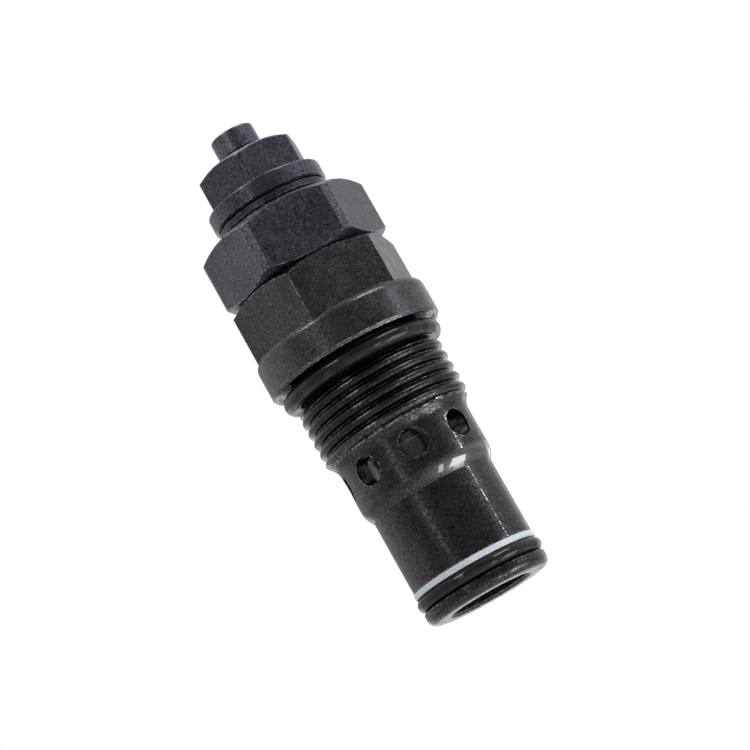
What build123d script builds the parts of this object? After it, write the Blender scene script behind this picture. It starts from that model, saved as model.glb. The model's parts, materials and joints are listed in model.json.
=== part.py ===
from build123d import *
from math import cos, radians, sin, sqrt, tan
import os

# Screw-in pilot-operated pressure relief cartridge valve with an M27x2 port thread.
# Millimetres. +Z runs up the valve's axis, from the inlet nose towards the adjusting screw.
# The origin is on the axis, level with the collar's underside, which seats on the manifold.

# Driving dimensions: the envelope, bottom to top (heights are above the seat face)
NOSE_END_Z = -45.5
NOSE_LAND_RADIUS = 11.2
NOSE_LAND_TOP_Z = -43.1
NOSE_GROOVE_RADIUS = 9.0
NOSE_GROOVE_TOP_Z = -39.45
NOSE_RADIUS = 11.0
NOSE_TOP_Z = -25.95
PORTED_RADIUS = 12.0
PORTED_BOTTOM_Z = -24.3
PORTED_TOP_Z = -15.6
PORT_THREAD_RADIUS = 13.43
PORT_THREAD_PITCH = 2.0
PORT_THREAD_BOTTOM_Z = -13.7
PORT_THREAD_TOP_Z = -3.75
UNDERCUT_RADIUS = 11.8
SEAT_RECESS_RADIUS = 14.85
SEAT_RECESS_DEPTH = 0.35
COLLAR_RADIUS = 15.75
COLLAR_TOP_Z = 6.85
BODY_HEX_TOP_Z = 16.4
CAP_HEX_TOP_Z = 27.15
CAP_BOSS_TOP_Z = 28.4
WASHER_TOP_Z = 29.85
FLANGE_TOP_Z = 33.2
LOCK_NUT_TOP_Z = 39.3
SCREW_TOP_Z = 44.5

# Rounds and chamfers of the body
NOSE_END_ROUND = 1.3
NOSE_CORNER_ROUND = 0.3
SHOULDER_ROUND = 4.0
RUNOUT_ROUND = 3.0
COLLAR_ROUND = 1.5
EDGE_BREAK = 0.15

# Wrench hexes: size across flats, and the bearing of one corner about +Z, in degrees
WRENCH_FLATS = 27.0
WRENCH_LAND_RADIUS = WRENCH_FLATS / 2 - 0.3
BODY_HEX_BEARING = -101.8
BODY_HEX_ROOT = 1.5
CAP_HEX_BEARING = -112.1
CAP_CORNER_RADIUS = 15.15
LOCK_NUT_FLATS = 17.0
LOCK_NUT_BEARING = -94.1
LOCK_NUT_CORNER_ROUND = 0.6
CHAMFER_SLOPE = tan(radians(30))

# Radial outlet ports
PORT_COUNT = 8
PORT_DIAMETER = 5.0
PORT_Z = -18.95
PORT_BEARING = -83.8

# Bores inside the body
INLET_RADIUS = 7.2
SEAT_POCKET_RADIUS = 8.45
SEAT_POCKET_Z = -30.0
GALLERY_RADIUS = 8.9
GALLERY_BOTTOM_Z = -22.9
GALLERY_TOP_Z = -15.4
GUIDE_RADIUS = 8.5
PILOT_BORE_RADIUS = 9.6
PILOT_FLOOR_Z = -2.0
PILOT_SHOULDER_Z = 3.0
CAP_THREAD_RADIUS = 11.0
CAP_THREAD_PITCH = 1.5
CAP_THREAD_TOP_Z = 13.6
CAP_SEAL_RADIUS = 11.6
CAP_SEAL_Z = 14.2
DRAIN_RADIUS = 0.6
DRAIN_OFFSET = 10.3

# Fits, all radial, and the small axial gap at a resting face
SLIDING_FIT = 0.03
PRESSED_FIT = 0.01
THREAD_FIT = 0.03
CONE_GAP = 0.1
PILOT_CONE_GAP = 0.05
FACE_GAP = 0.02

# The small step at each edge of a thread's crest, the bearings at which the threads start, and
# how far the turned body is then rotated, which sets where its thread runs out
CREST_STEP = 0.02
BODY_THREAD_START = 25
SCREW_THREAD_START = 205
BODY_TURN = 180

# Rings outside the body
PORT_RING_WIRE = 1.45
PORT_RING_Z = -1.85
NOSE_RING_WIRE = 1.235
NOSE_RING_Z = -41.76
NOSE_BACKUP_BOTTOM_Z = -40.5

# Main stage
SEAT_TOP_Z = -23.0
SEAT_BORE_RADIUS = 6.0
SEAT_CHAMFER = 0.8
POPPET_TOP_Z = -6.0
POPPET_FACE_Z = -24.3
POPPET_FLOOR_Z = -20.0
POPPET_STEM_RADIUS = 7.4
POPPET_BORE_RADIUS = 6.0
POPPET_LAND_Z = -16.2
POPPET_RADIUS = GUIDE_RADIUS - SLIDING_FIT
CONE_FOOT_RADIUS = SEAT_BORE_RADIUS + SEAT_CHAMFER - SEAT_TOP_Z + POPPET_FACE_Z - CONE_GAP
BALANCE_GROOVE_Z = (-13.5, -11.5, -9.5)
ORIFICE_THREAD_RADIUS = 2.0
ORIFICE_TOP_Z = -20.6
ORIFICE_LENGTH = 3.0
MAIN_COIL_RADIUS = 4.9
MAIN_WIRE_RADIUS = 0.55
MAIN_COIL_TURNS = 7.5

# Pilot stage
PILOT_PLUG_TOP_Z = 3.3
PILOT_PLUG_RADIUS = PILOT_BORE_RADIUS - SLIDING_FIT
PILOT_PLUG_BORE_RADIUS = 1.5
PILOT_RING_WIRE = 0.6
PILOT_RING_Z = 0.85
PILOT_SEAT_POCKET_RADIUS = 3.2
PILOT_SEAT_POCKET_Z = 0.5
PILOT_SEAT_TOP_Z = 3.9
PILOT_SEAT_BORE_RADIUS = 1.0
PILOT_SEAT_CHAMFER = 0.5
PILOT_TIP_Z = 2.75
PILOT_TIP_RADIUS = (
    PILOT_SEAT_BORE_RADIUS + PILOT_SEAT_CHAMFER - PILOT_SEAT_TOP_Z + PILOT_TIP_Z - PILOT_CONE_GAP
)
PILOT_CONE_RADIUS = 2.2
PILOT_FLANGE_Z = 5.6
SPRING_FLANGE_RADIUS = 5.7
SPRING_PILOT_RADIUS = 3.6
PILOT_SPRING_BOTTOM_Z = 6.8
PILOT_SPRING_TOP_Z = 17.0
PILOT_COIL_RADIUS = 4.75
PILOT_WIRE_RADIUS = 0.85
PILOT_COIL_TURNS = 4.5

# Adjuster cap and plunger
CAP_BOTTOM_Z = 3.3
CAP_NECK_RADIUS = 9.9
CAP_RING_WIRE = 0.8
CAP_RING_Z = 15.3
BOSS_RADIUS = 9.8
CHAMBER_RADIUS = 6.2
CHAMBER_TOP_Z = 24.2
SCREW_TIP_Z = 20.5
PLUNGER_TOP_Z = SCREW_TIP_Z - FACE_GAP
PLUNGER_RADIUS = CHAMBER_RADIUS - SLIDING_FIT
PLUNGER_GROOVE_RADIUS = 4.9
PLUNGER_GROOVE_Z = 18.15
PLUNGER_GROOVE_WIDTH = 1.9
PLUNGER_RING_WIRE = 0.62
PLUNGER_RING_Z = 18.82
PLUNGER_BACKUP_BOTTOM_Z = 19.5
PLUNGER_BACKUP_TOP_Z = 20.0

# Adjusting screw, stop ring, washer and lock nut
SCREW_THREAD_RADIUS = 5.0
SCREW_THREAD_PITCH = 1.0
SCREW_THREAD_TOP_Z = 38.8
SCREW_CORE_RADIUS = SCREW_THREAD_RADIUS - 0.7
STUB_RADIUS = 3.9
STUB_NECK_RADIUS = 3.55
STUB_GROOVE_TOP_Z = 40.8
KEY_FLATS = 4.0
KEY_DEPTH = 4.5
STOP_RING_Z = 21.2
STOP_RING_THICKNESS = 0.8
STOP_RING_GAP = 3.2
STOP_GROOVE_RADIUS = 4.0
STOP_GROOVE_BOTTOM_Z = STOP_RING_Z - 0.05
STOP_GROOVE_TOP_Z = STOP_RING_Z + STOP_RING_THICKNESS + 0.05
SCREW_THREAD_BOTTOM_Z = STOP_GROOVE_TOP_Z + 0.45
WASHER_RADIUS = 9.95
FLANGE_RADIUS = 10.5


def outline(*points):
    """A closed half-section: each point is (radius, height) or (radius, height, corner radius)."""
    with BuildSketch(Plane.XZ) as section:
        with BuildLine():
            Polyline(*[point[:2] for point in points], close=True)
        make_face()
        for point in points:
            if len(point) == 3:
                corner = section.vertices().sort_by_distance(point[:2])[0]
                fillet(corner, radius=point[2])
    return section.sketch


def groove(floor_radius, outer_radius, bottom, top, root=0.2):
    """A rectangular ring groove's half-section, with rounded roots."""
    return outline(
        (floor_radius, bottom, root),
        (outer_radius, bottom),
        (outer_radius, top),
        (floor_radius, top, root),
    )


def ring_section(ring_radius, wire_radius, height=0.0):
    """The round section of a ring, such as an O-ring, about the axis."""
    with BuildSketch(Plane.XZ) as section:
        with Locations((ring_radius, height)):
            Circle(wire_radius)
    return section.sketch


def o_ring(ring_radius, wire_radius, height):
    """One O-ring."""
    with BuildPart() as ring:
        revolve(ring_section(ring_radius, wire_radius, height))
    return ring


def flat_ring(inner, outer, bottom, top, edge):
    """One flat ring with broken edges."""
    with BuildPart() as ring:
        revolve(
            outline(
                (inner, bottom + edge),
                (inner + edge, bottom),
                (outer - edge, bottom),
                (outer, bottom + edge),
                (outer, top - edge),
                (outer - edge, top),
                (inner + edge, top),
                (inner, top - edge),
            )
        )
    return ring


def hexagon(flats, bearing, corner_round=0.0):
    """A hexagon across the given flats, with one corner at the bearing."""
    with BuildSketch() as section:
        RegularPolygon(flats / sqrt(3), 6, rotation=bearing)
        if corner_round:
            fillet(section.vertices(), radius=corner_round)
    return section.sketch


def wrench_envelope(bottom, top, radius, land, chamfer_bottom):
    """The turned envelope of a wrench hex: a drum with 30 degree chamfers down to a round land."""
    drop = (radius - land) * CHAMFER_SLOPE
    if chamfer_bottom:
        foot = [(land, bottom), (radius, bottom + drop)]
    else:
        foot = [(radius, bottom)]
    return outline((0, bottom), *foot, (radius, top - drop), (land, top), (0, top))


def wrench_hex(section, bottom, top, radius, land, chamfer_bottom=False):
    """A wrench hex of the given section, trimmed to its turned envelope."""
    with BuildPart() as blank:
        with BuildSketch(Plane.XY.offset(bottom)):
            add(section)
        extrude(amount=top - bottom)
        revolve(wrench_envelope(bottom, top, radius, land, chamfer_bottom), mode=Mode.INTERSECT)
    return blank.part


def radial_plane(bearing, height):
    """The plane through the axis that faces outward along the bearing, in degrees."""
    outward = (cos(radians(bearing)), sin(radians(bearing)), 0)
    return Plane(origin=(0, 0, height), x_dir=(-outward[1], outward[0], 0), z_dir=outward)


def thread_cutter(crest_radius, pitch, bottom, top, crest_round, start_bearing):
    """The helical groove of a right-hand 60 degree thread whose crests are rounded over."""
    crest_land = 0.035 * pitch
    mouth = pitch / 2 - crest_land
    edge_radius = crest_radius - CREST_STEP
    centre = edge_radius - sqrt(crest_round**2 - crest_land**2)
    flank_radius = centre + crest_round * sin(radians(30))
    flank_height = pitch / 2 - crest_round * cos(radians(30))
    root_height = 0.04 * pitch
    root_radius = flank_radius - (flank_height - root_height) / tan(radians(30))
    shoulder = radians(30) + (radians(90) - radians(30)) / 2
    arc_middle = (
        centre + crest_round * sin(shoulder),
        pitch / 2 - crest_round * cos(shoulder),
    )
    clear_radius = crest_radius + 0.4
    with BuildPart() as cutter:
        with BuildLine():
            Helix(pitch, top - bottom, crest_radius, center=(0, 0, bottom))
        with BuildSketch(Plane.XZ.shift_origin((0, 0, bottom))):
            with BuildLine():
                Line((root_radius, root_height), (flank_radius, flank_height))
                ThreePointArc((flank_radius, flank_height), arc_middle, (edge_radius, mouth))
                Line((edge_radius, mouth), (clear_radius, mouth))
                Line((clear_radius, mouth), (clear_radius, -mouth))
                Line((clear_radius, -mouth), (edge_radius, -mouth))
                ThreePointArc(
                    (edge_radius, -mouth),
                    (arc_middle[0], -arc_middle[1]),
                    (flank_radius, -flank_height),
                )
                Line((flank_radius, -flank_height), (root_radius, -root_height))
                Line((root_radius, -root_height), (root_radius, root_height))
            make_face()
        sweep(is_frenet=True)
    return cutter.part.rotate(Axis.Z, start_bearing)


def coil_spring(coil_radius, wire_radius, bottom, top, turns):
    """A compression spring with ground flat ends."""
    pitch = (top - bottom) / (turns - 1)
    start = bottom - pitch / 2
    with BuildPart() as spring:
        with BuildLine():
            Helix(pitch, pitch * turns, coil_radius, center=(0, 0, start))
        with BuildSketch(Plane.XZ.shift_origin((0, 0, start))):
            with Locations((coil_radius, 0)):
                Circle(wire_radius)
        sweep(is_frenet=True)
        split(bisect_by=Plane.XY.offset(bottom), keep=Keep.TOP)
        split(bisect_by=Plane.XY.offset(top), keep=Keep.BOTTOM)
    return spring


os.makedirs("parts", exist_ok=True)

def save(part, label):
    """Label a finished piece and write its STEP file."""
    part.label = label
    export_step(part, f"parts/{label}.step")

# Body: one turned piece, from the wrench hex down to the inlet nose
body_hex = wrench_hex(
    hexagon(WRENCH_FLATS, BODY_HEX_BEARING),
    COLLAR_TOP_Z - BODY_HEX_ROOT,
    BODY_HEX_TOP_Z,
    radius=WRENCH_FLATS / sqrt(3) + 0.4,
    land=WRENCH_LAND_RADIUS,
)
port_thread = thread_cutter(
    PORT_THREAD_RADIUS,
    PORT_THREAD_PITCH,
    PORT_THREAD_BOTTOM_Z - 1.5 * PORT_THREAD_PITCH,
    PORT_THREAD_TOP_Z + 1.55,
    crest_round=0.75,
    start_bearing=BODY_THREAD_START,
)

port_bearings = [PORT_BEARING + 360 / PORT_COUNT * n for n in range(PORT_COUNT)]
port_planes = [radial_plane(bearing, PORT_Z) for bearing in port_bearings]

with BuildPart() as turned_body:
    revolve(
        outline(
            (0, NOSE_END_Z),
            (NOSE_LAND_RADIUS, NOSE_END_Z, NOSE_END_ROUND),
            (NOSE_LAND_RADIUS, NOSE_LAND_TOP_Z - EDGE_BREAK),
            (NOSE_LAND_RADIUS - EDGE_BREAK, NOSE_LAND_TOP_Z),
            (NOSE_GROOVE_RADIUS, NOSE_LAND_TOP_Z, 0.2),
            (NOSE_GROOVE_RADIUS, NOSE_GROOVE_TOP_Z, 0.1),
            (NOSE_RADIUS - EDGE_BREAK, NOSE_GROOVE_TOP_Z),
            (NOSE_RADIUS, NOSE_GROOVE_TOP_Z + EDGE_BREAK),
            (NOSE_RADIUS, NOSE_TOP_Z, NOSE_CORNER_ROUND),
            (PORTED_RADIUS, PORTED_BOTTOM_Z, SHOULDER_ROUND),
            (PORTED_RADIUS, PORTED_TOP_Z, RUNOUT_ROUND),
            (PORT_THREAD_RADIUS, PORT_THREAD_BOTTOM_Z),
            (PORT_THREAD_RADIUS, PORT_THREAD_TOP_Z - 0.7),
            (UNDERCUT_RADIUS + 0.6, PORT_THREAD_TOP_Z),
            (UNDERCUT_RADIUS, PORT_THREAD_TOP_Z, 0.3),
            (UNDERCUT_RADIUS, SEAT_RECESS_DEPTH, 0.4),
            (SEAT_RECESS_RADIUS - 0.2, SEAT_RECESS_DEPTH),
            (SEAT_RECESS_RADIUS, 0),
            (COLLAR_RADIUS - 0.35, 0),
            (COLLAR_RADIUS, 0.5),
            (COLLAR_RADIUS, COLLAR_TOP_Z, COLLAR_ROUND),
            (0, COLLAR_TOP_Z),
        )
    )
    add(port_thread, mode=Mode.SUBTRACT)

with BuildPart() as valve_body:
    add(turned_body.part.rotate(Axis.Z, BODY_TURN))
    add(body_hex)
    revolve(
        outline(
            (0, NOSE_END_Z - 1),
            (INLET_RADIUS + 1.5, NOSE_END_Z - 1),
            (INLET_RADIUS, NOSE_END_Z + 0.5),
            (INLET_RADIUS, SEAT_POCKET_Z),
            (SEAT_POCKET_RADIUS, SEAT_POCKET_Z),
            (SEAT_POCKET_RADIUS, GALLERY_BOTTOM_Z),
            (GALLERY_RADIUS, GALLERY_BOTTOM_Z + 0.45),
            (GALLERY_RADIUS, GALLERY_TOP_Z - 0.4),
            (GUIDE_RADIUS, GALLERY_TOP_Z),
            (GUIDE_RADIUS, PILOT_FLOOR_Z - 0.3),
            (GUIDE_RADIUS + 0.3, PILOT_FLOOR_Z),
            (PILOT_BORE_RADIUS, PILOT_FLOOR_Z),
            (PILOT_BORE_RADIUS, PILOT_SHOULDER_Z),
            (CAP_THREAD_RADIUS + THREAD_FIT, PILOT_SHOULDER_Z),
            (CAP_THREAD_RADIUS + THREAD_FIT, CAP_SEAL_Z - 0.57),
            (CAP_SEAL_RADIUS, CAP_SEAL_Z),
            (CAP_SEAL_RADIUS, BODY_HEX_TOP_Z - 0.3),
            (CAP_SEAL_RADIUS + 0.3, BODY_HEX_TOP_Z),
            (CAP_SEAL_RADIUS + 0.3, BODY_HEX_TOP_Z + 1),
            (0, BODY_HEX_TOP_Z + 1),
        ),
        mode=Mode.SUBTRACT,
    )
    # radial outlet ports
    with BuildSketch(*port_planes):
        Circle(PORT_DIAMETER / 2)
    extrude(amount=PORTED_RADIUS + 2, mode=Mode.SUBTRACT)
    # drains from the spring chamber down to two of the ports
    with BuildSketch(Plane.XY.offset(PILOT_SHOULDER_Z)):
        with PolarLocations(DRAIN_OFFSET, 2, start_angle=PORT_BEARING):
            Circle(DRAIN_RADIUS)
    extrude(amount=PORT_Z - PILOT_SHOULDER_Z, mode=Mode.SUBTRACT)

save(valve_body.part, "valve_body")

# Seals outside the body
port_o_ring = o_ring(UNDERCUT_RADIUS + PORT_RING_WIRE + 0.02, PORT_RING_WIRE, PORT_RING_Z)
save(port_o_ring.part, "port_o_ring")

nose_o_ring = o_ring(NOSE_GROOVE_RADIUS + NOSE_RING_WIRE + 0.025, NOSE_RING_WIRE, NOSE_RING_Z)
save(nose_o_ring.part, "nose_o_ring")

nose_backup_ring = flat_ring(
    NOSE_GROOVE_RADIUS + 0.1,
    NOSE_RADIUS + 0.16,
    NOSE_BACKUP_BOTTOM_Z,
    NOSE_GROOVE_TOP_Z - FACE_GAP,
    edge=0.1,
)
save(nose_backup_ring.part, "nose_backup_ring")

# Main stage: hardened seat sleeve pressed in the nose, poppet, orifice and closing spring

with BuildPart() as main_seat_sleeve:
    revolve(
        outline(
            (SEAT_BORE_RADIUS + 0.5, SEAT_POCKET_Z + PRESSED_FIT),
            (SEAT_POCKET_RADIUS - 0.4, SEAT_POCKET_Z + PRESSED_FIT),
            (SEAT_POCKET_RADIUS - PRESSED_FIT, SEAT_POCKET_Z + 0.4),
            (SEAT_POCKET_RADIUS - PRESSED_FIT, SEAT_TOP_Z - 0.3),
            (SEAT_POCKET_RADIUS - 0.3, SEAT_TOP_Z),
            (SEAT_BORE_RADIUS + SEAT_CHAMFER, SEAT_TOP_Z),
            (SEAT_BORE_RADIUS, SEAT_TOP_Z - SEAT_CHAMFER),
            (SEAT_BORE_RADIUS, SEAT_POCKET_Z + 0.5),
        )
    )
save(main_seat_sleeve.part, "main_seat_sleeve")

with BuildPart() as main_poppet:
    revolve(
        outline(
            (0, POPPET_FACE_Z),
            (CONE_FOOT_RADIUS, POPPET_FACE_Z),
            (POPPET_STEM_RADIUS, POPPET_FACE_Z + POPPET_STEM_RADIUS - CONE_FOOT_RADIUS),
            (POPPET_STEM_RADIUS, POPPET_LAND_Z - 1.2, 0.6),
            (POPPET_RADIUS, POPPET_LAND_Z),
            (POPPET_RADIUS, POPPET_TOP_Z - 0.4),
            (POPPET_RADIUS - 0.4, POPPET_TOP_Z),
            (POPPET_BORE_RADIUS + 0.6, POPPET_TOP_Z),
            (POPPET_BORE_RADIUS, POPPET_TOP_Z - 0.6),
            (POPPET_BORE_RADIUS, POPPET_FLOOR_Z, 0.4),
            (0, POPPET_FLOOR_Z),
        )
    )
    for height in BALANCE_GROOVE_Z:
        revolve(
            groove(POPPET_RADIUS - 0.4, POPPET_RADIUS + 1, height, height + 0.5, root=0.1),
            mode=Mode.SUBTRACT,
        )
    with BuildSketch(Plane.XY.offset(POPPET_FACE_Z - 1)):
        Circle(ORIFICE_THREAD_RADIUS)
    extrude(amount=POPPET_FLOOR_Z - POPPET_FACE_Z + 2, mode=Mode.SUBTRACT)
save(main_poppet.part, "main_poppet")

with BuildPart() as damping_orifice:
    with BuildSketch(Plane.XY.offset(ORIFICE_TOP_Z - ORIFICE_LENGTH)):
        Circle(ORIFICE_THREAD_RADIUS - THREAD_FIT)
    extrude(amount=ORIFICE_LENGTH)
    chamfer(damping_orifice.edges().filter_by(GeomType.CIRCLE), length=0.25)
    with BuildSketch(Plane.XY.offset(ORIFICE_TOP_Z)):
        Rectangle(2 * ORIFICE_THREAD_RADIUS, 0.6)
    extrude(amount=-0.8, mode=Mode.SUBTRACT)
    with BuildSketch(Plane.XY.offset(ORIFICE_TOP_Z)):
        Circle(0.4)
    extrude(amount=-ORIFICE_LENGTH, mode=Mode.SUBTRACT)
save(damping_orifice.part, "damping_orifice")

main_spring = coil_spring(
    coil_radius=MAIN_COIL_RADIUS,
    wire_radius=MAIN_WIRE_RADIUS,
    bottom=POPPET_FLOOR_Z + FACE_GAP,
    top=PILOT_FLOOR_Z - FACE_GAP,
    turns=MAIN_COIL_TURNS,
)
save(main_spring.part, "main_spring")

# Pilot stage: plug with an O-ring, hardened pilot seat, cone and its spring

with BuildPart() as pilot_plug:
    revolve(
        outline(
            (PILOT_PLUG_BORE_RADIUS, PILOT_FLOOR_Z - 2.5),
            (3.6, PILOT_FLOOR_Z - 2.5),
            (4.1, PILOT_FLOOR_Z - 2.0),
            (4.1, PILOT_FLOOR_Z),
            (PILOT_PLUG_RADIUS - 0.3, PILOT_FLOOR_Z),
            (PILOT_PLUG_RADIUS, PILOT_FLOOR_Z + 0.3),
            (PILOT_PLUG_RADIUS, PILOT_PLUG_TOP_Z - 0.3),
            (PILOT_PLUG_RADIUS - 0.3, PILOT_PLUG_TOP_Z),
            (PILOT_SEAT_POCKET_RADIUS, PILOT_PLUG_TOP_Z),
            (PILOT_SEAT_POCKET_RADIUS, PILOT_SEAT_POCKET_Z),
            (PILOT_PLUG_BORE_RADIUS, PILOT_SEAT_POCKET_Z),
        )
    )
    revolve(
        groove(
            PILOT_PLUG_RADIUS - 2 * PILOT_RING_WIRE,
            PILOT_PLUG_RADIUS + 1,
            PILOT_RING_Z - 0.85,
            PILOT_RING_Z + 0.85,
        ),
        mode=Mode.SUBTRACT,
    )
save(pilot_plug.part, "pilot_plug")

pilot_plug_o_ring = o_ring(PILOT_PLUG_RADIUS - PILOT_RING_WIRE, PILOT_RING_WIRE, PILOT_RING_Z)
save(pilot_plug_o_ring.part, "pilot_plug_o_ring")

with BuildPart() as pilot_seat:
    revolve(
        outline(
            (PILOT_SEAT_BORE_RADIUS, PILOT_SEAT_POCKET_Z + PRESSED_FIT),
            (PILOT_SEAT_POCKET_RADIUS - 0.3, PILOT_SEAT_POCKET_Z + PRESSED_FIT),
            (PILOT_SEAT_POCKET_RADIUS - PRESSED_FIT, PILOT_SEAT_POCKET_Z + 0.3),
            (PILOT_SEAT_POCKET_RADIUS - PRESSED_FIT, PILOT_SEAT_TOP_Z - 0.2),
            (PILOT_SEAT_POCKET_RADIUS - 0.2, PILOT_SEAT_TOP_Z),
            (PILOT_SEAT_BORE_RADIUS + PILOT_SEAT_CHAMFER, PILOT_SEAT_TOP_Z),
            (PILOT_SEAT_BORE_RADIUS, PILOT_SEAT_TOP_Z - PILOT_SEAT_CHAMFER),
        )
    )
save(pilot_seat.part, "pilot_seat")

with BuildPart() as pilot_poppet:
    revolve(
        outline(
            (0, PILOT_TIP_Z),
            (PILOT_TIP_RADIUS, PILOT_TIP_Z),
            (PILOT_CONE_RADIUS, PILOT_TIP_Z + PILOT_CONE_RADIUS - PILOT_TIP_RADIUS),
            (PILOT_CONE_RADIUS, PILOT_FLANGE_Z, 0.3),
            (SPRING_FLANGE_RADIUS, PILOT_FLANGE_Z, 0.3),
            (SPRING_FLANGE_RADIUS, PILOT_SPRING_BOTTOM_Z, 0.3),
            (SPRING_PILOT_RADIUS, PILOT_SPRING_BOTTOM_Z),
            (SPRING_PILOT_RADIUS, PILOT_SPRING_BOTTOM_Z + 1.8),
            (SPRING_PILOT_RADIUS - 0.8, PILOT_SPRING_BOTTOM_Z + 2.4),
            (0, PILOT_SPRING_BOTTOM_Z + 2.4),
        )
    )
save(pilot_poppet.part, "pilot_poppet")

pilot_spring = coil_spring(
    coil_radius=PILOT_COIL_RADIUS,
    wire_radius=PILOT_WIRE_RADIUS,
    bottom=PILOT_SPRING_BOTTOM_Z + FACE_GAP,
    top=PILOT_SPRING_TOP_Z - FACE_GAP,
    turns=PILOT_COIL_TURNS,
)
save(pilot_spring.part, "pilot_spring")

# Adjuster cap: wrench hex over a threaded spigot, with the spring chamber inside

cap_hex = wrench_hex(
    hexagon(WRENCH_FLATS, CAP_HEX_BEARING),
    BODY_HEX_TOP_Z,
    CAP_HEX_TOP_Z,
    radius=CAP_CORNER_RADIUS,
    land=WRENCH_LAND_RADIUS,
    chamfer_bottom=True,
)
cap_thread = thread_cutter(
    CAP_THREAD_RADIUS,
    CAP_THREAD_PITCH,
    CAP_BOTTOM_Z - CAP_THREAD_PITCH,
    CAP_THREAD_TOP_Z + 0.8,
    crest_round=0.4,
    start_bearing=BODY_THREAD_START,
)

with BuildPart() as adjuster_cap:
    revolve(
        outline(
            (0, CAP_BOTTOM_Z),
            (CAP_THREAD_RADIUS - 1.3, CAP_BOTTOM_Z),
            (CAP_THREAD_RADIUS, CAP_BOTTOM_Z + 1.3),
            (CAP_THREAD_RADIUS, CAP_THREAD_TOP_Z - 1.1),
            (CAP_NECK_RADIUS, CAP_THREAD_TOP_Z),
            (CAP_NECK_RADIUS, BODY_HEX_TOP_Z, 0.3),
            (CAP_SEAL_RADIUS, BODY_HEX_TOP_Z),
            (CAP_SEAL_RADIUS, CAP_HEX_TOP_Z - 1),
            (BOSS_RADIUS, CAP_HEX_TOP_Z - 1),
            (BOSS_RADIUS, CAP_BOSS_TOP_Z - 0.15),
            (BOSS_RADIUS - 0.15, CAP_BOSS_TOP_Z),
            (0, CAP_BOSS_TOP_Z),
        )
    )
    add(cap_thread, mode=Mode.SUBTRACT)
    add(cap_hex)
    revolve(
        outline(
            (0, CAP_BOTTOM_Z - 1),
            (CHAMBER_RADIUS + 1.5, CAP_BOTTOM_Z - 1),
            (CHAMBER_RADIUS, CAP_BOTTOM_Z + 0.5),
            (CHAMBER_RADIUS, CHAMBER_TOP_Z, 0.3),
            (SCREW_THREAD_RADIUS + THREAD_FIT + 0.3, CHAMBER_TOP_Z),
            (SCREW_THREAD_RADIUS + THREAD_FIT, CHAMBER_TOP_Z + 0.3),
            (SCREW_THREAD_RADIUS + THREAD_FIT, CAP_BOSS_TOP_Z - 0.4),
            (SCREW_THREAD_RADIUS + 1.5, CAP_BOSS_TOP_Z + 1),
            (0, CAP_BOSS_TOP_Z + 1),
        ),
        mode=Mode.SUBTRACT,
    )
    # drain slot across the spigot's end face
    with BuildSketch(Plane.XY.offset(CAP_BOTTOM_Z)):
        Rectangle(2 * CAP_THREAD_RADIUS + 2, 1.6)
    extrude(amount=1.3, mode=Mode.SUBTRACT)
save(adjuster_cap.part, "adjuster_cap")

cap_o_ring = o_ring(CAP_NECK_RADIUS + CAP_RING_WIRE + 0.04, CAP_RING_WIRE, CAP_RING_Z)
save(cap_o_ring.part, "cap_o_ring")

# Plunger between the adjusting screw and the pilot spring

with BuildPart() as spring_plunger:
    revolve(
        outline(
            (0, PILOT_SPRING_TOP_Z - 2.2),
            (SPRING_PILOT_RADIUS - 0.8, PILOT_SPRING_TOP_Z - 2.2),
            (SPRING_PILOT_RADIUS, PILOT_SPRING_TOP_Z - 1.6),
            (SPRING_PILOT_RADIUS, PILOT_SPRING_TOP_Z),
            (PLUNGER_RADIUS - 0.3, PILOT_SPRING_TOP_Z),
            (PLUNGER_RADIUS, PILOT_SPRING_TOP_Z + 0.3),
            (PLUNGER_RADIUS, PLUNGER_TOP_Z - 0.3),
            (PLUNGER_RADIUS - 0.3, PLUNGER_TOP_Z),
            (0, PLUNGER_TOP_Z),
        )
    )
    revolve(
        groove(
            PLUNGER_GROOVE_RADIUS,
            PLUNGER_RADIUS + 1,
            PLUNGER_GROOVE_Z,
            PLUNGER_GROOVE_Z + PLUNGER_GROOVE_WIDTH,
            root=0.1,
        ),
        mode=Mode.SUBTRACT,
    )
save(spring_plunger.part, "spring_plunger")

plunger_o_ring = o_ring(PLUNGER_RADIUS - PLUNGER_RING_WIRE, PLUNGER_RING_WIRE, PLUNGER_RING_Z)
save(plunger_o_ring.part, "plunger_o_ring")

plunger_backup_ring = flat_ring(
    PLUNGER_GROOVE_RADIUS + 0.05,
    PLUNGER_RADIUS,
    PLUNGER_BACKUP_BOTTOM_Z,
    PLUNGER_BACKUP_TOP_Z,
    edge=0.08,
)
save(plunger_backup_ring.part, "plunger_backup_ring")

# Adjusting screw, its stop ring, and the lock nut with its seal washer

screw_thread = thread_cutter(
    SCREW_THREAD_RADIUS,
    SCREW_THREAD_PITCH,
    SCREW_THREAD_BOTTOM_Z,
    SCREW_THREAD_TOP_Z + 0.3,
    crest_round=0.2,
    start_bearing=SCREW_THREAD_START,
)

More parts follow.
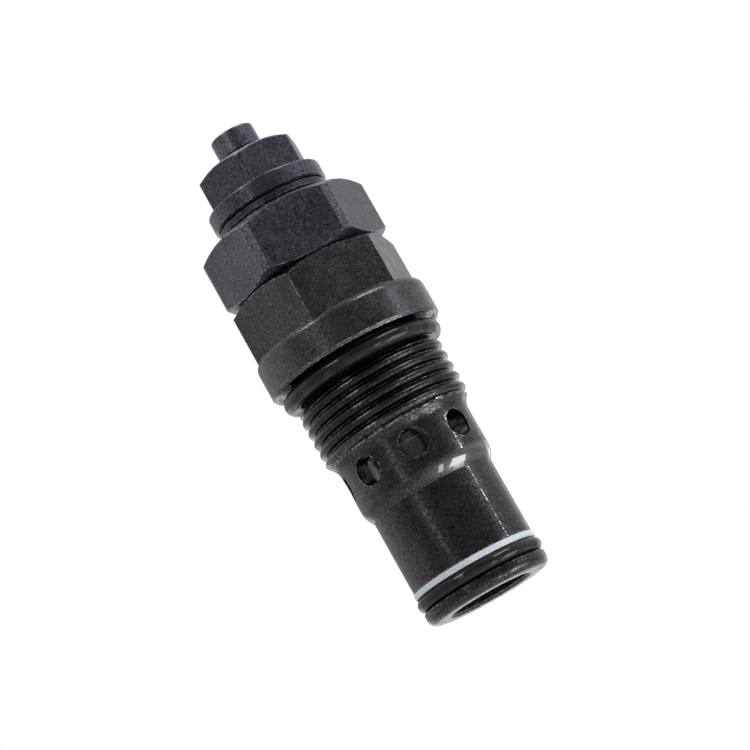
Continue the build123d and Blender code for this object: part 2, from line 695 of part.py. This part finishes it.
with BuildPart() as adjusting_screw:
    revolve(
        outline(
            (0, SCREW_TIP_Z),
            (SCREW_CORE_RADIUS - 0.3, SCREW_TIP_Z),
            (SCREW_CORE_RADIUS, SCREW_TIP_Z + 0.3),
            (SCREW_CORE_RADIUS, STOP_GROOVE_BOTTOM_Z),
            (STOP_GROOVE_RADIUS, STOP_GROOVE_BOTTOM_Z),
            (STOP_GROOVE_RADIUS, STOP_GROOVE_TOP_Z),
            (SCREW_CORE_RADIUS, STOP_GROOVE_TOP_Z),
            (SCREW_CORE_RADIUS, SCREW_THREAD_BOTTOM_Z),
            (SCREW_THREAD_RADIUS, SCREW_THREAD_BOTTOM_Z + 0.7),
            (SCREW_THREAD_RADIUS, SCREW_THREAD_TOP_Z - 0.7),
            (SCREW_CORE_RADIUS, SCREW_THREAD_TOP_Z),
            (STUB_NECK_RADIUS, SCREW_THREAD_TOP_Z, 0.2),
            (STUB_NECK_RADIUS, STUB_GROOVE_TOP_Z - 0.45),
            (STUB_RADIUS, STUB_GROOVE_TOP_Z),
            (STUB_RADIUS, SCREW_TOP_Z, 0.35),
            (0, SCREW_TOP_Z),
        )
    )
    add(screw_thread, mode=Mode.SUBTRACT)
    with BuildSketch(Plane.XY.offset(SCREW_TOP_Z)):
        add(hexagon(KEY_FLATS, 0))
    extrude(amount=-KEY_DEPTH, mode=Mode.SUBTRACT)
    revolve(
        outline(
            (0, SCREW_TOP_Z + 0.5),
            (KEY_FLATS / 2 + 1.0, SCREW_TOP_Z + 0.5),
            (0, SCREW_TOP_Z - KEY_FLATS / 2 - 0.5),
        ),
        mode=Mode.SUBTRACT,
    )
save(adjusting_screw.part, "adjusting_screw")

with BuildPart() as screw_stop_ring:
    with BuildSketch(Plane.XY.offset(STOP_RING_Z)):
        Circle(CHAMBER_RADIUS - 0.35)
        Circle(STOP_GROOVE_RADIUS + 0.05, mode=Mode.SUBTRACT)
        with Locations((CHAMBER_RADIUS, 0)):
            Rectangle(CHAMBER_RADIUS, STOP_RING_GAP, mode=Mode.SUBTRACT)
    extrude(amount=STOP_RING_THICKNESS)
    fillet(screw_stop_ring.edges().filter_by(Axis.Z), radius=0.4)
save(screw_stop_ring.part, "screw_stop_ring")

seal_washer = flat_ring(
    SCREW_THREAD_RADIUS + 0.15, WASHER_RADIUS, CAP_BOSS_TOP_Z, WASHER_TOP_Z, edge=0.2
)
save(seal_washer.part, "seal_washer")

nut_hex = wrench_hex(
    hexagon(LOCK_NUT_FLATS, LOCK_NUT_BEARING, LOCK_NUT_CORNER_ROUND),
    FLANGE_TOP_Z - 1,
    LOCK_NUT_TOP_Z,
    radius=LOCK_NUT_FLATS / sqrt(3) + 0.2,
    land=LOCK_NUT_FLATS / 2 - 0.5,
)

with BuildPart() as lock_nut:
    add(nut_hex)
    revolve(
        outline(
            (0, WASHER_TOP_Z),
            (FLANGE_RADIUS - 0.3, WASHER_TOP_Z),
            (FLANGE_RADIUS, WASHER_TOP_Z + 0.3),
            (FLANGE_RADIUS, FLANGE_TOP_Z - 0.3, 0.4),
            (LOCK_NUT_FLATS / 2, FLANGE_TOP_Z + 0.25),
            (0, FLANGE_TOP_Z + 0.25),
        )
    )
    revolve(
        outline(
            (0, WASHER_TOP_Z - 1),
            (SCREW_THREAD_RADIUS + 1.4, WASHER_TOP_Z - 1),
            (SCREW_THREAD_RADIUS + THREAD_FIT, WASHER_TOP_Z + 0.4),
            (SCREW_THREAD_RADIUS + THREAD_FIT, LOCK_NUT_TOP_Z - 0.4),
            (SCREW_THREAD_RADIUS + 1.4, LOCK_NUT_TOP_Z + 1),
            (0, LOCK_NUT_TOP_Z + 1),
        ),
        mode=Mode.SUBTRACT,
    )
save(lock_nut.part, "lock_nut")
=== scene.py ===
import json
import math

import bpy
from mathutils import Matrix, Vector


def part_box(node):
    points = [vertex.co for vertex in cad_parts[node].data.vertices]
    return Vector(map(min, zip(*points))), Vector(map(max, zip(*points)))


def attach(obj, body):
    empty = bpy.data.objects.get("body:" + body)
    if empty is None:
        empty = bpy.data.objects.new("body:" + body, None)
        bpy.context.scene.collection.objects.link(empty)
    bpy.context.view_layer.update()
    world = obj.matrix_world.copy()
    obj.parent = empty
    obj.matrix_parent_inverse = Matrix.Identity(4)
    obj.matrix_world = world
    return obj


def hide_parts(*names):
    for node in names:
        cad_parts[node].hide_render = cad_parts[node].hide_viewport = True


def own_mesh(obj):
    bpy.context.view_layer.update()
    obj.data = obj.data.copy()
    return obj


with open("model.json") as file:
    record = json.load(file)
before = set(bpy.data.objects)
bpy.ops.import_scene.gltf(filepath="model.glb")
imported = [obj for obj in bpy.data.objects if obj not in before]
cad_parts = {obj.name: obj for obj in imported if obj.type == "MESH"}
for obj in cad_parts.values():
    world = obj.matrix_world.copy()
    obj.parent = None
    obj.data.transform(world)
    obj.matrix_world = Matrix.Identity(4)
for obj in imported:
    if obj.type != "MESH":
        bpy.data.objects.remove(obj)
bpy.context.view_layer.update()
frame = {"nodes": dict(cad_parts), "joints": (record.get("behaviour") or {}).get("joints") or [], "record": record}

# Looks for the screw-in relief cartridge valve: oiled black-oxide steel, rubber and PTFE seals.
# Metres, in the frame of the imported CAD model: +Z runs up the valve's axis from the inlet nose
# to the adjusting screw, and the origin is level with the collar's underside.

MM = 0.001

# Camera: at the front, a little below the valve, rolled so that the valve's top leans left
SENSOR_WIDTH = 36.0
LENS = 134.6
CAMERA_DISTANCE = 0.4676
CAMERA_ELEVATION = math.radians(-10.7)
CAMERA_ROLL = math.radians(-29.48)
AIM = Vector((0.00122, 0.0, -0.00395))

FLOOR_Z = -0.45
FLOOR_SIZE = 12.0
FLOOR_COLOUR = (0.86, 0.86, 0.87, 1.0)
WHITE = (1.0, 1.0, 1.0, 1.0)

# Where the body's finish changes, in millimetres, from the record's mounts and the nodes' boxes.
# The shoulder, where the ported section narrows to the nose, is level with the main poppet's foot.
MOUNTS = {mount["name"]: mount for mount in frame["record"]["mounts"]}
BODY_TOP_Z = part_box("valve_body")[1][2] / MM
COLLAR_TOP_Z = 2 * MOUNTS["body_wrench_hex"]["pos_m"][2] / MM - BODY_TOP_Z
SEAT_Z = MOUNTS["seat_face"]["pos_m"][2] / MM
SHOULDER_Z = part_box("main_poppet")[0][2] / MM
LAND_RADIUS = MOUNTS["nose_land"]["dims"]["r_mm"]
THREAD_BOTTOM_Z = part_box("port_o_ring")[0][2] / MM - MOUNTS["manifold_thread"]["dims"]["length_mm"]
CAP_CORNER_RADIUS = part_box("adjuster_cap")[1][0] / MM

# In millimetres: how far the ports' lower edges are above the shoulder, how far above and below
# the shoulder the oil collects, and how wide a worn edge is
PORT_EDGE_RISE = 2.8
POOL_REACH = 1.2
EDGE_WIDTH = 0.3

# How bright the black oxide is on each surface, from 0 to 1, and the steel that shows through it
NOSE_LEVEL = 0.042
HEX_LEVEL = 0.063
COLLAR_LEVEL = 0.074
THREAD_LEVEL = 0.024
PORT_WALL_LEVEL = 0.3
CAP_LEVEL = 0.080
NUT_LEVEL = 0.075
SCREW_LEVEL = 0.10
WASHER_LEVEL = 0.05
BARE_LEVEL = 0.6
PIT_LEVEL = 0.24

# Black oxide's red, green and blue. The cap and the small parts above it are bluer than the body.
BODY_TINT = (1.05, 0.97, 1.10)
BLUE_TINT = (1.05, 0.98, 1.22)

# A grey's blue goes up by this share, and its red and green go down by half of it
COOLNESS = 0.03

PTFE_CLEAN = (0.57, 0.62, 0.65, 1.0)
PTFE_STAINED = (0.48, 0.54, 0.58, 1.0)
BRASS_DULL = (0.60, 0.42, 0.18, 1.0)
BRASS_BRIGHT = (0.74, 0.56, 0.27, 1.0)

# How nearly a bevelled normal keeps to its face's own, on a flat face and on a sharp edge
FLAT_AGREEMENT = 0.995
EDGE_AGREEMENT = 0.9
BEVEL_SAMPLES = 6


class Finish:
    """One procedural material, built up in front of its Principled shader."""

    def __init__(self, name, **constants):
        self.material = bpy.data.materials.new(name)
        self.material.use_nodes = True
        self.nodes = self.material.node_tree.nodes
        self.links = self.material.node_tree.links
        self.shader = self.nodes["Principled BSDF"]
        for socket, value in constants.items():
            self.shader.inputs[socket.replace("_", " ")].default_value = value

    def node(self, kind, feeds=(), **settings):
        """Add a node. feeds pairs its inputs with numbers, colours or other nodes' outputs."""
        made = self.nodes.new("ShaderNode" + kind)
        for key, value in settings.items():
            setattr(made, key, value)
        for key, value in dict(feeds).items():
            self.feed(made.inputs[key], value)
        return made

    def feed(self, socket, value):
        """Link a socket to another node's output, or set it to a number or a colour."""
        if isinstance(value, bpy.types.NodeSocket):
            self.links.new(value, socket)
        else:
            socket.default_value = value

    def place(self, scale=(1.0, 1.0, 1.0)):
        """Position on the part in millimetres, stretched by a scale along each axis."""
        where = self.node("TexCoord").outputs["Object"]
        stretch = tuple(s / MM for s in scale)
        return self.node("VectorMath", {0: where, 1: stretch}, operation="MULTIPLY").outputs[0]

    def parts(self):
        """X, Y and Z of the position in millimetres."""
        return self.node("SeparateXYZ", {0: self.place()}).outputs

    def math(self, operation, a, b):
        return self.node("Math", {0: a, 1: b}, operation=operation).outputs[0]

    def radius(self):
        """Distance from the valve's axis in millimetres."""
        x, y, _ = self.parts()
        across = self.node("CombineXYZ", {0: x, 1: y}).outputs[0]
        return self.node("VectorMath", {0: across}, operation="LENGTH").outputs["Value"]

    def remap(self, value, low, high, out_low=0.0, out_high=1.0):
        """Carry low to high over to out_low to out_high, and hold the value past either end."""
        feeds = {
            "Value": value,
            "From Min": low,
            "From Max": high,
            "To Min": out_low,
            "To Max": out_high,
        }
        return self.node("MapRange", feeds).outputs["Result"]

    def noise(self, scale, detail=3.0, where=None, roughness=0.55, distortion=0.0):
        """Soft noise from 0 to 1, with scale features per millimetre."""
        feeds = {
            "Vector": where or self.place(),
            "Scale": scale,
            "Detail": detail,
            "Roughness": roughness,
            "Distortion": distortion,
        }
        return self.node("TexNoise", feeds).outputs["Fac"]

    def turned(self, scale):
        """Noise that runs round the axis, as a lathe tool leaves it."""
        z = self.parts()[2]
        where = self.node("CombineXYZ", {0: self.radius(), 2: z}).outputs[0]
        return self.noise(scale, detail=4.0, where=where)

    def between(self, low, high, soft=0.15):
        """1 between two heights in millimetres and 0 outside them."""
        z = self.parts()[2]
        rising = self.remap(z, low - soft, low + soft)
        falling = self.remap(z, high - soft, high + soft, 1.0, 0.0)
        return self.math("MULTIPLY", rising, falling)

    def mix(self, share, a, b):
        """A colour that goes from a to b. The Mix node's colours are inputs 6 and 7, output 2."""
        return self.node("Mix", {0: share, 6: a, 7: b}, data_type="RGBA").outputs[2]

    def blend(self, share, a, b):
        """A number that goes from a to b. The Mix node's numbers are inputs 2 and 3, output 0."""
        return self.node("Mix", {0: share, 2: a, 3: b}, data_type="FLOAT").outputs[0]

    def layer(self, value, *layers):
        """Put a new value in each zone, given as pairs of a zone and its value, the last on top."""
        for zone, new_value in layers:
            value = self.blend(zone, value, new_value)
        return value

    def bump(self, height, depth, over=None):
        """Relief, with depth in millimetres, on top of another relief if one is given."""
        feeds = {"Height": height, "Distance": depth * MM}
        if over is not None:
            feeds["Normal"] = over
        return self.node("Bump", feeds).outputs["Normal"]

    def edges(self, width):
        """1 on the edges of the part, within a width in millimetres, and 0 on its faces."""
        bevel = self.node("Bevel", {"Radius": width * MM}, samples=BEVEL_SAMPLES).outputs["Normal"]
        face = self.node("NewGeometry").outputs["Normal"]
        agreement = self.node("VectorMath", {0: bevel, 1: face}, operation="DOT_PRODUCT")
        return self.remap(agreement.outputs["Value"], FLAT_AGREEMENT, EDGE_AGREEMENT)

    def finish(self, **inputs):
        """Feed the shader's own inputs, named with _ for a space, and give back the material."""
        for socket, value in inputs.items():
            self.feed(self.shader.inputs[socket.replace("_", " ")], value)
        return self.material


def grey(value):
    """A near-neutral colour."""
    dimmed = value * (1 - COOLNESS / 2)
    return (dimmed, dimmed, value * (1 + COOLNESS), 1.0)


def oxide(steel, level, wear=1.0, tint=BLUE_TINT):
    """Black oxide's colour: blotches and fine speckle, with bare steel at flecks and worn edges."""
    stain = steel.noise(0.16, detail=4.0, distortion=0.6)
    mottle = steel.noise(1.1)
    speckle = steel.noise(4.2, detail=2.0, roughness=0.7)
    blotches = steel.remap(steel.blend(0.4, stain, mottle), 0.35, 0.65, 0.75, 1.25)
    speckles = steel.remap(speckle, 0.32, 0.68, 0.1, 1.9)
    tone = steel.math("MULTIPLY", steel.math("MULTIPLY", blotches, speckles), level)
    dark = steel.node("VectorMath", {0: tint, "Scale": tone}, operation="SCALE").outputs[0]
    chips = steel.remap(steel.noise(1.3, detail=4.0), 0.46, 0.62, 0.0, wear)
    flecks = steel.remap(steel.noise(1.7, roughness=0.7), 0.70, 0.76, 0.0, 0.6)
    chipped_edges = steel.math("MULTIPLY", steel.edges(EDGE_WIDTH), chips)
    bare = steel.math("MAXIMUM", flecks, chipped_edges)
    return steel.mix(bare, dark, grey(BARE_LEVEL))


def port_walls(steel):
    """1 on the walls of the ports and of the bore behind them, and 0 elsewhere."""
    ported = steel.between(SHOULDER_Z + PORT_EDGE_RISE, THREAD_BOTTOM_Z)
    inside = steel.remap(steel.radius(), LAND_RADIUS + 0.2, LAND_RADIUS + 0.4, 1.0, 0.0)
    return steel.math("MULTIPLY", ported, inside)


def body_oil(steel, walls):
    """How much oil lies on the body: a patchy film, a pool at the shoulder, and wet port walls."""
    film = steel.remap(steel.noise(2.4, detail=4.0), 0.46, 0.60, 0.0, 0.28)
    pool = steel.between(SHOULDER_Z - POOL_REACH, SHOULDER_Z + POOL_REACH, soft=0.5)
    towards_right = steel.remap(steel.parts()[0], -1.0, 4.0, 0.08, 1.0)
    film = steel.math("MAXIMUM", film, steel.math("MULTIPLY", pool, towards_right))
    return steel.math("MAXIMUM", film, walls)


def body_finish():
    """The body: milled hex, turned collar, rolled thread and ground nose in one piece of steel."""
    steel = Finish("black_oxide_body", Metallic=1.0, Coat_Roughness=0.04, Coat_IOR=1.9)
    hexagon = steel.between(COLLAR_TOP_Z, BODY_TOP_Z + 1)
    collar = steel.between(SEAT_Z, COLLAR_TOP_Z)
    thread = steel.between(THREAD_BOTTOM_Z, SEAT_Z)
    walls = port_walls(steel)
    level = steel.layer(
        NOSE_LEVEL,
        (hexagon, HEX_LEVEL),
        (collar, COLLAR_LEVEL),
        (thread, THREAD_LEVEL),
        (walls, PORT_WALL_LEVEL),
    )
    wear = steel.blend(thread, 1.0, 0.3)
    colour = oxide(steel, level, wear, tint=BODY_TINT)
    smears = steel.noise(0.5, detail=5.0, distortion=1.2)
    rough = steel.layer(0.28, (hexagon, 0.34), (thread, 0.22), (walls, 0.16))
    rough = steel.math("ADD", rough, steel.remap(smears, 0.35, 0.65, -0.05, 0.08))
    milled = steel.noise(1.2, detail=5.0, where=steel.place((3.0, 3.0, 0.5)), distortion=0.6)
    machined = steel.bump(steel.blend(hexagon, steel.turned(9.0), milled), 0.012)
    pitted = steel.bump(steel.noise(3.0, detail=4.0), 0.025, over=machined)
    oil = body_oil(steel, walls)
    thread_oil = steel.math("MULTIPLY", oil, 0.4)
    coat = steel.layer(oil, (thread, thread_oil), (hexagon, 0.03), (collar, 0.03))
    return steel.finish(Base_Color=colour, Roughness=rough, Normal=pitted, Coat_Weight=coat)


def cap_finish():
    """The adjuster cap's hex bar: drawn grain along its faces, pitted strips at its corners."""
    steel = Finish(
        "black_oxide_cap", Metallic=1.0, Coat_Weight=0.1, Coat_Roughness=0.2, Coat_IOR=1.45
    )
    corner = steel.remap(steel.radius(), CAP_CORNER_RADIUS - 0.2, CAP_CORNER_RADIUS - 0.03)
    speckle = steel.remap(steel.noise(3.4, detail=4.0), 0.52, 0.64)
    pitted = steel.math("MULTIPLY", steel.math("MULTIPLY", corner, speckle), 0.8)
    colour = steel.mix(pitted, oxide(steel, CAP_LEVEL), grey(PIT_LEVEL))
    drawn = steel.noise(1.0, detail=5.0, where=steel.place((1.5, 1.5, 0.45)), distortion=1.2)
    relief = steel.bump(steel.blend(0.3, drawn, steel.noise(5.0)), 0.12)
    rough = steel.remap(steel.noise(1.1), 0.3, 0.7, 0.30, 0.42)
    return steel.finish(Base_Color=colour, Roughness=rough, Normal=relief)


def hardware_finish(name, level, rough_low, rough_high):
    """The lock nut, washer, screw and plunger: turned, with fine pits."""
    steel = Finish(name, Metallic=1.0, Coat_Weight=0.15, Coat_Roughness=0.12, Coat_IOR=1.45)
    colour = oxide(steel, level)
    turned = steel.bump(steel.turned(8.0), 0.012)
    pitted = steel.bump(steel.noise(3.0, detail=4.0), 0.025, over=turned)
    rough = steel.remap(steel.noise(1.5), 0.3, 0.7, rough_low, rough_high)
    return steel.finish(Base_Color=colour, Roughness=rough, Normal=pitted)


def rubber_finish():
    """Oiled black nitrile rubber, with fine dust and moulding texture."""
    rubber = Finish("nitrile_rubber", Coat_Roughness=0.05, Coat_IOR=1.5, Specular_IOR_Level=0.1)
    dust = rubber.remap(rubber.noise(1.2, detail=5.0), 0.5, 0.75)
    colour = rubber.mix(dust, grey(0.006), grey(0.012))
    smears = rubber.noise(0.7, detail=4.0, distortion=0.8)
    rough = rubber.remap(smears, 0.35, 0.65, 0.3, 0.5)
    moulded = rubber.bump(rubber.noise(1.6, detail=4.0), 0.05)
    oil = rubber.remap(rubber.noise(0.3, detail=2.0, distortion=0.5), 0.35, 0.6, 0.2, 0.55)
    return rubber.finish(Base_Color=colour, Roughness=rough, Normal=moulded, Coat_Weight=oil)


def ptfe_finish():
    """White PTFE, slightly translucent and bluish, with skived marks round it."""
    ptfe = Finish("ptfe", Subsurface_Weight=0.15, Subsurface_Scale=0.001)
    stain = ptfe.remap(ptfe.noise(0.5, detail=4.0), 0.4, 0.7)
    colour = ptfe.mix(stain, PTFE_CLEAN, PTFE_STAINED)
    skived = ptfe.bump(ptfe.turned(5.0), 0.015)
    rough = ptfe.remap(ptfe.noise(2.0), 0.3, 0.7, 0.32, 0.48)
    return ptfe.finish(Base_Color=colour, Roughness=rough, Normal=skived)


def bright_metal(name, low, high, rough_low, rough_high):
    """Bare turned or ground metal, with lathe marks and a little tarnish."""
    metal = Finish(name, Metallic=1.0)
    tarnish = metal.remap(metal.noise(0.6, detail=4.0, distortion=0.5), 0.35, 0.65)
    colour = metal.mix(tarnish, low, high)
    rough = metal.remap(metal.turned(6.0), 0.3, 0.7, rough_low, rough_high)
    turned = metal.bump(metal.turned(10.0), 0.006)
    return metal.finish(Base_Color=colour, Roughness=rough, Normal=turned)


def dress(material, *nodes):
    """Give CAD nodes their material."""
    for name in nodes:
        slots = frame["nodes"][name].data.materials
        slots.clear()
        slots.append(material)


dress(body_finish(), "valve_body")
dress(cap_finish(), "adjuster_cap")
dress(hardware_finish("black_oxide_nut", NUT_LEVEL, 0.26, 0.36), "lock_nut")
dress(
    hardware_finish("black_oxide_screw", SCREW_LEVEL, 0.28, 0.4),
    "adjusting_screw",
    "spring_plunger",
)
dress(hardware_finish("bonded_washer", WASHER_LEVEL, 0.3, 0.45), "seal_washer")
dress(
    rubber_finish(),
    "port_o_ring",
    "nose_o_ring",
    "pilot_plug_o_ring",
    "cap_o_ring",
    "plunger_o_ring",
)
dress(ptfe_finish(), "nose_backup_ring", "plunger_backup_ring")
dress(bright_metal("oiled_steel", grey(0.10), grey(0.18), 0.3, 0.45), "main_poppet")
dress(
    bright_metal("ground_steel", grey(0.30), grey(0.42), 0.2, 0.34),
    "main_seat_sleeve",
    "pilot_seat",
    "pilot_poppet",
    "pilot_plug",
)
dress(
    bright_metal("spring_steel", grey(0.25), grey(0.38), 0.25, 0.4),
    "main_spring",
    "pilot_spring",
    "screw_stop_ring",
)
dress(bright_metal("brass", BRASS_DULL, BRASS_BRIGHT, 0.2, 0.34), "damping_orifice")


def add_spring(node):
    """A copy of the CAD coil, carried by the cartridge body.

    It takes the place of the rigid CAD one.
    """
    cad_node = frame["nodes"][node]
    coil = bpy.data.objects.new(node + "_coil", cad_node.data.copy())
    bpy.context.scene.collection.objects.link(coil)
    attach(coil, "cartridge")
    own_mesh(coil)
    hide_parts(node)


for joint in frame["joints"]:
    for spring in joint.get("deforming_nodes", []):
        add_spring(spring["node"])


def add_camera():
    """The photograph's viewpoint."""
    camera = bpy.data.objects.new("camera", bpy.data.cameras.new("camera"))
    camera.data.sensor_width = SENSOR_WIDTH
    camera.data.lens = LENS
    camera.data.clip_start = 0.01
    camera.data.clip_end = 50.0
    back = Vector((0.0, -math.cos(CAMERA_ELEVATION), math.sin(CAMERA_ELEVATION)))
    upright = (-back).to_track_quat("-Z", "Y").to_matrix().to_4x4()
    place = Matrix.Translation(AIM + CAMERA_DISTANCE * back)
    camera.matrix_world = place @ upright @ Matrix.Rotation(CAMERA_ROLL, 4, "Z")
    bpy.context.scene.collection.objects.link(camera)
    bpy.context.scene.camera = camera


def add_floor():
    """A wide pale floor, far enough below the valve for the low viewpoint to clear it."""
    half = FLOOR_SIZE / 2
    corners = [(-half, -half), (half, -half), (half, half), (-half, half)]
    mesh = bpy.data.meshes.new("floor")
    mesh.from_pydata([(x, y, FLOOR_Z) for x, y in corners], [], [(0, 1, 2, 3)])
    floor = bpy.data.objects.new("floor", mesh)
    bpy.context.scene.collection.objects.link(floor)
    paint = Finish("floor_paint", Roughness=0.7)
    mesh.materials.append(paint.finish(Base_Color=FLOOR_COLOUR))


def add_world():
    """White to the camera. In reflections, a room that is dark in front and dimmer at the back."""
    world = bpy.data.worlds.new("studio")
    bpy.context.scene.world = world
    world.use_nodes = True
    nodes, links = world.node_tree.nodes, world.node_tree.links
    room = nodes["Background"]
    direction = nodes.new("ShaderNodeTexCoord").outputs["Generated"]
    parts = nodes.new("ShaderNodeSeparateXYZ")
    links.new(direction, parts.inputs[0])

    def ramp(low, high, out_low, out_high):
        """Brightness along Y, from the front of the room to the back."""
        made = nodes.new("ShaderNodeMapRange")
        made.interpolation_type = "SMOOTHSTEP"
        links.new(parts.outputs["Y"], made.inputs["Value"])
        limits = {"From Min": low, "From Max": high, "To Min": out_low, "To Max": out_high}
        for key, value in limits.items():
            made.inputs[key].default_value = value
        return made.outputs["Result"]

    strength = nodes.new("ShaderNodeMath")
    strength.operation = "MULTIPLY"
    links.new(ramp(-0.75, 0.1, 0.20, 0.80), strength.inputs[0])
    links.new(ramp(0.55, 0.95, 1.0, 0.55), strength.inputs[1])
    links.new(strength.outputs[0], room.inputs["Strength"])
    room.inputs["Color"].default_value = WHITE
    backdrop = nodes.new("ShaderNodeBackground")
    backdrop.inputs["Color"].default_value = WHITE
    backdrop.inputs["Strength"].default_value = 1.0
    path = nodes.new("ShaderNodeLightPath")
    choice = nodes.new("ShaderNodeMixShader")
    links.new(path.outputs["Is Camera Ray"], choice.inputs[0])
    links.new(room.outputs[0], choice.inputs[1])
    links.new(backdrop.outputs[0], choice.inputs[2])
    links.new(choice.outputs[0], nodes["World Output"].inputs["Surface"])


def add_panel(name, bearing, elevation, distance, size, power):
    """A rectangular lamp facing the valve. Its bearing runs from +X towards +Y, in degrees."""
    lamp = bpy.data.lights.new(name, "AREA")
    lamp.shape = "RECTANGLE"
    lamp.size, lamp.size_y = size
    lamp.energy = power
    panel = bpy.data.objects.new(name, lamp)
    turn = Matrix.Rotation(math.radians(bearing), 3, "Z")
    rise = Matrix.Rotation(-math.radians(elevation), 3, "Y")
    place = turn @ rise @ Vector((distance, 0.0, 0.0))
    aim = (-place).to_track_quat("-Z", "Y").to_matrix().to_4x4()
    panel.matrix_world = Matrix.Translation(place) @ aim
    panel.visible_camera = False
    bpy.context.scene.collection.objects.link(panel)


add_camera()
add_floor()
add_world()
add_panel("left_fill", bearing=-118.0, elevation=8.0, distance=0.7, size=(0.12, 0.5), power=0.22)
add_panel("right_strip", bearing=-9.5, elevation=6.0, distance=0.7, size=(0.015, 0.08), power=0.22)
add_panel("left_glint", bearing=-128.0, elevation=42.0, distance=0.7, size=(0.2, 0.12), power=1.3)
add_panel("right_glint", bearing=-29.0, elevation=42.0, distance=0.7, size=(0.35, 0.12), power=1.6)
add_panel("low_window", bearing=-20.0, elevation=-36.0, distance=0.6, size=(0.28, 0.36), power=1.7)
add_panel("low_side", bearing=-56.0, elevation=-36.0, distance=0.6, size=(0.08, 0.3), power=0.3)
add_panel("back_right", bearing=62.0, elevation=12.0, distance=0.9, size=(0.3, 0.6), power=0.31)
add_panel("back_low", bearing=90.0, elevation=-8.0, distance=1.0, size=(1.2, 0.28), power=0.9)
add_panel("top_panel", bearing=90.0, elevation=70.0, distance=1.2, size=(0.8, 0.8), power=5.0)
bpy.context.scene.view_settings.view_transform = "Standard"
